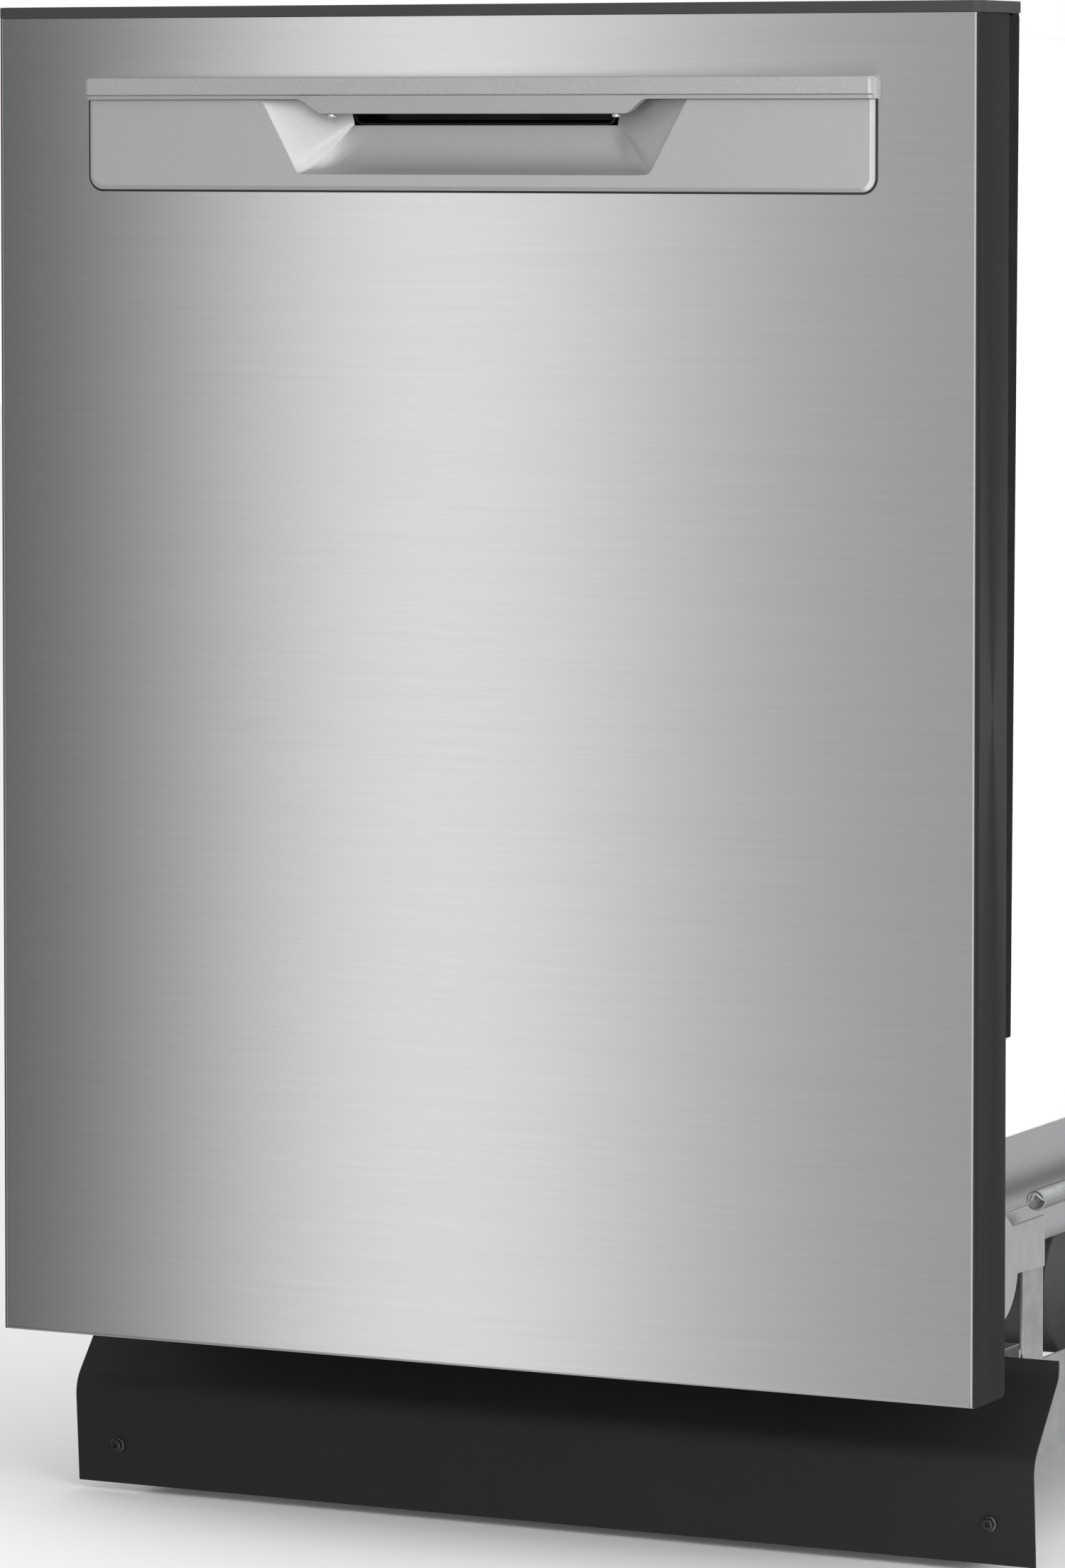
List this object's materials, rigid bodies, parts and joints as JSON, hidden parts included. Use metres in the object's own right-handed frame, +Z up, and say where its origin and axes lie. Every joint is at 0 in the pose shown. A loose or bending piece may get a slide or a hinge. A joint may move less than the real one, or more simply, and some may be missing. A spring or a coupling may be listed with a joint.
{
  "type": "built-in dishwasher",
  "caption": "Undercounter dishwasher with a drop-down steel door, recessed pocket handle, top-edge controls, sliding racks, spray arms, pumps and a folded toe kick.",
  "frame": {"origin": "centre of the bounding box's bottom face, on the floor under the machine's middle", "axes": "+X to the viewer's right across the door, the door faces -Y, +Z up"},
  "size_m": [0.609, 0.622, 0.8695],
  "materials": {
    "brushed_steel_door": "horizontally brushed stainless steel with dark side returns",
    "console_charcoal": "fine-grained charcoal plastic",
    "display_black": "glossy black lens",
    "circuit_green": "green circuit board",
    "silver_paint": "silver metallic painted plastic with a fine sparkle",
    "bright_screw": "bright plated screws",
    "slot_black": "smooth black plastic",
    "liner_black": "satin black inner door",
    "fibre_pad": "bonded fibre sound pad",
    "rubber_black": "black rubber",
    "dispenser_grey": "grey polypropylene",
    "dispenser_lid_grey": "smooth grey plastic",
    "cap_blue": "blue plastic cap",
    "vent_grey": "dark grey plastic grille",
    "latch_grey": "dark plastic latch case",
    "zinc_steel": "zinc-plated pressed steel",
    "button_grey": "satin grey key caps",
    "tub_steel": "satin stainless steel",
    "blanket_white": "pale bonded fibre blanket",
    "galvanised_steel": "galvanised sheet steel",
    "spring_steel": "drawn spring wire and cable",
    "kick_black": "satin black painted steel",
    "black_screw": "black oxide screws",
    "sump_grey": "dark grey moulded plastic",
    "filter_steel": "perforated stainless steel",
    "filter_mesh": "fine stainless mesh on a plastic frame",
    "pump_grey": "pump housing plastic and motor lamination",
    "impeller_white": "natural plastic",
    "heater_alloy": "heat-tinted alloy tube",
    "float_white": "white polypropylene",
    "valve_white": "white nylon valve body",
    "hose_clear": "translucent hose",
    "pipe_grey": "grey polypropylene pipe",
    "roller_white": "white acetal rollers",
    "arm_grey": "grey polypropylene spray arm",
    "rack_vinyl": "vinyl-coated wire",
    "basket_grey": "grey plastic basket",
    "leg_dark": "dark plated steel"
  },
  "bodies": {
    "cabinet": {"tub_gasket": "rubber_black", "tub": "tub_steel", "insulation_blanket": "blanket_white", "base_frame": "galvanised_steel", "hinge_bracket_left": "zinc_steel", "hinge_bracket_right": "zinc_steel", "door_springs": "spring_steel", "toe_kick": "kick_black", "kick_screws": "black_screw", "countertop_brackets": "zinc_steel", "latch_strike": "zinc_steel", "sump": "sump_grey", "filter_plate": "filter_steel", "wash_pump": "pump_grey", "drain_pump": "pump_grey", "heating_element": "heater_alloy", "inlet_valve": "valve_white", "fill_hose": "hose_clear", "junction_box": "galvanised_steel", "spray_supply": "pipe_grey", "rail_rollers": "roller_white"},
    "door": {"door_panel": "brushed_steel_door", "control_console": "console_charcoal", "display_window": "display_black", "control_board": "circuit_green", "handle_fascia": "silver_paint", "grip_bar": "silver_paint", "handle_screws": "bright_screw", "finger_slot": "slot_black", "door_liner": "liner_black", "door_insulation": "fibre_pad", "door_foot_seal": "rubber_black", "dispenser_body": "dispenser_grey", "door_vent": "vent_grey", "latch_housing": "latch_grey", "hinge_arm_left": "zinc_steel", "hinge_arm_right": "zinc_steel"},
    "power_button": {"power_button": "button_grey"},
    "cycle_button": {"cycle_button": "button_grey"},
    "options_button": {"options_button": "button_grey"},
    "start_button": {"start_button": "button_grey"},
    "dispenser_lid": {"dispenser_lid": "dispenser_lid_grey"},
    "rinse_aid_cap": {"rinse_aid_cap": "cap_blue"},
    "filter_cylinder": {"filter_cylinder": "filter_mesh"},
    "wash_impeller": {"wash_impeller": "impeller_white"},
    "drain_impeller": {"drain_impeller": "impeller_white"},
    "float": {"float": "float_white"},
    "lower_spray_arm": {"lower_spray_arm": "arm_grey"},
    "middle_spray_arm": {"middle_spray_arm": "arm_grey"},
    "upper_rack": {"upper_rack": "rack_vinyl"},
    "lower_rack": {"lower_rack": "rack_vinyl"},
    "silverware_basket": {"silverware_basket": "basket_grey"},
    "rack_wheel_front_left": {"rack_wheel_front_left": "roller_white"},
    "rack_wheel_front_right": {"rack_wheel_front_right": "roller_white"},
    "rack_wheel_rear_left": {"rack_wheel_rear_left": "roller_white"},
    "rack_wheel_rear_right": {"rack_wheel_rear_right": "roller_white"},
    "leg_front_left": {"leg_front_left": "leg_dark"},
    "leg_front_right": {"leg_front_right": "leg_dark"},
    "leg_rear_left": {"leg_rear_left": "leg_dark"},
    "leg_rear_right": {"leg_rear_right": "leg_dark"}
  },
  "joints": [
    {"name": "door_hinge", "type": "hinge", "parent": "cabinet", "child": "door", "pos_m": [0, -0.249, 0.175], "axis": [1, 0, 0], "range_deg": [0, 90], "stiffness_Nm_per_rad": 22, "springref_deg": -11.46, "deforming": ["door_springs"]},
    {"name": "power_press", "type": "slide", "parent": "door", "child": "power_button", "axis": [0, 0, -1], "range_m": [0, 0.001], "stiffness_N_per_m": 800},
    {"name": "cycle_press", "type": "slide", "parent": "door", "child": "cycle_button", "axis": [0, 0, -1], "range_m": [0, 0.001], "stiffness_N_per_m": 800},
    {"name": "options_press", "type": "slide", "parent": "door", "child": "options_button", "axis": [0, 0, -1], "range_m": [0, 0.001], "stiffness_N_per_m": 800},
    {"name": "start_press", "type": "slide", "parent": "door", "child": "start_button", "axis": [0, 0, -1], "range_m": [0, 0.001], "stiffness_N_per_m": 800},
    {"name": "dispenser_lid_slide", "type": "slide", "parent": "door", "child": "dispenser_lid", "axis": [-1, 0, 0], "range_m": [0, 0.062]},
    {"name": "rinse_cap_twist", "type": "hinge", "parent": "door", "child": "rinse_aid_cap", "pos_m": [0.03, -0.238, 0.522], "axis": [0, 1, 0], "range_deg": [0, 90]},
    {"name": "upper_rack_slide", "type": "slide", "parent": "cabinet", "child": "upper_rack", "axis": [0, -1, 0], "range_m": [0, 0.378]},
    {"name": "lower_rack_slide", "type": "slide", "parent": "cabinet", "child": "lower_rack", "axis": [0, -1, 0], "range_m": [0, 0.134]},
    {"name": "silverware_basket_lift", "type": "slide", "parent": "lower_rack", "child": "silverware_basket", "axis": [0, 0, 1], "range_m": [0, 0.1]},
    {"name": "middle_spray_spin", "type": "hinge", "parent": "upper_rack", "child": "middle_spray_arm", "pos_m": [0, 0.026, 0.538], "axis": [0, 0, 1], "continuous": true},
    {"name": "lower_spray_spin", "type": "hinge", "parent": "cabinet", "child": "lower_spray_arm", "pos_m": [0, 0.026, 0.206], "axis": [0, 0, 1], "continuous": true},
    {"name": "filter_twist", "type": "hinge", "parent": "cabinet", "child": "filter_cylinder", "pos_m": [0.04, 0.004, 0.172], "axis": [0, 0, 1], "range_deg": [0, 90]},
    {"name": "float_lift", "type": "slide", "parent": "cabinet", "child": "float", "axis": [0, 0, 1], "range_m": [0, 0.008]},
    {"name": "wash_impeller_spin", "type": "hinge", "parent": "cabinet", "child": "wash_impeller", "pos_m": [0.118, 0.04, 0.122], "axis": [1, 0, 0], "continuous": true},
    {"name": "drain_impeller_spin", "type": "hinge", "parent": "cabinet", "child": "drain_impeller", "pos_m": [-0.115, 0.04, 0.106], "axis": [1, 0, 0], "continuous": true},
    {"name": "wheel_front_left_roll", "type": "hinge", "parent": "lower_rack", "child": "rack_wheel_front_left", "pos_m": [-0.254, -0.14, 0.1955], "axis": [1, 0, 0], "continuous": true},
    {"name": "wheel_front_right_roll", "type": "hinge", "parent": "lower_rack", "child": "rack_wheel_front_right", "pos_m": [0.254, -0.14, 0.1955], "axis": [1, 0, 0], "continuous": true},
    {"name": "wheel_rear_left_roll", "type": "hinge", "parent": "lower_rack", "child": "rack_wheel_rear_left", "pos_m": [-0.254, 0.19, 0.1955], "axis": [1, 0, 0], "continuous": true},
    {"name": "wheel_rear_right_roll", "type": "hinge", "parent": "lower_rack", "child": "rack_wheel_rear_right", "pos_m": [0.254, 0.19, 0.1955], "axis": [1, 0, 0], "continuous": true},
    {"name": "leg_front_left_screw", "type": "slide", "parent": "cabinet", "child": "leg_front_left", "axis": [0, 0, -1], "range_m": [0, 0.03]},
    {"name": "leg_front_right_screw", "type": "slide", "parent": "cabinet", "child": "leg_front_right", "axis": [0, 0, -1], "range_m": [0, 0.03]},
    {"name": "leg_rear_left_screw", "type": "slide", "parent": "cabinet", "child": "leg_rear_left", "axis": [0, 0, -1], "range_m": [0, 0.03]},
    {"name": "leg_rear_right_screw", "type": "slide", "parent": "cabinet", "child": "leg_rear_right", "axis": [0, 0, -1], "range_m": [0, 0.03]}
  ],
  "couplings": [
    {"joint": "upper_rack_slide", "follows": "door_hinge", "m_per_rad": 0.24},
    {"joint": "lower_rack_slide", "follows": "door_hinge", "m_per_rad": 0.085},
    {"joint": "wheel_front_left_roll", "follows": "door_hinge", "ratio": 5.8219},
    {"joint": "wheel_front_right_roll", "follows": "door_hinge", "ratio": 5.8219},
    {"joint": "wheel_rear_left_roll", "follows": "door_hinge", "ratio": 5.8219},
    {"joint": "wheel_rear_right_roll", "follows": "door_hinge", "ratio": 5.8219}
  ]
}
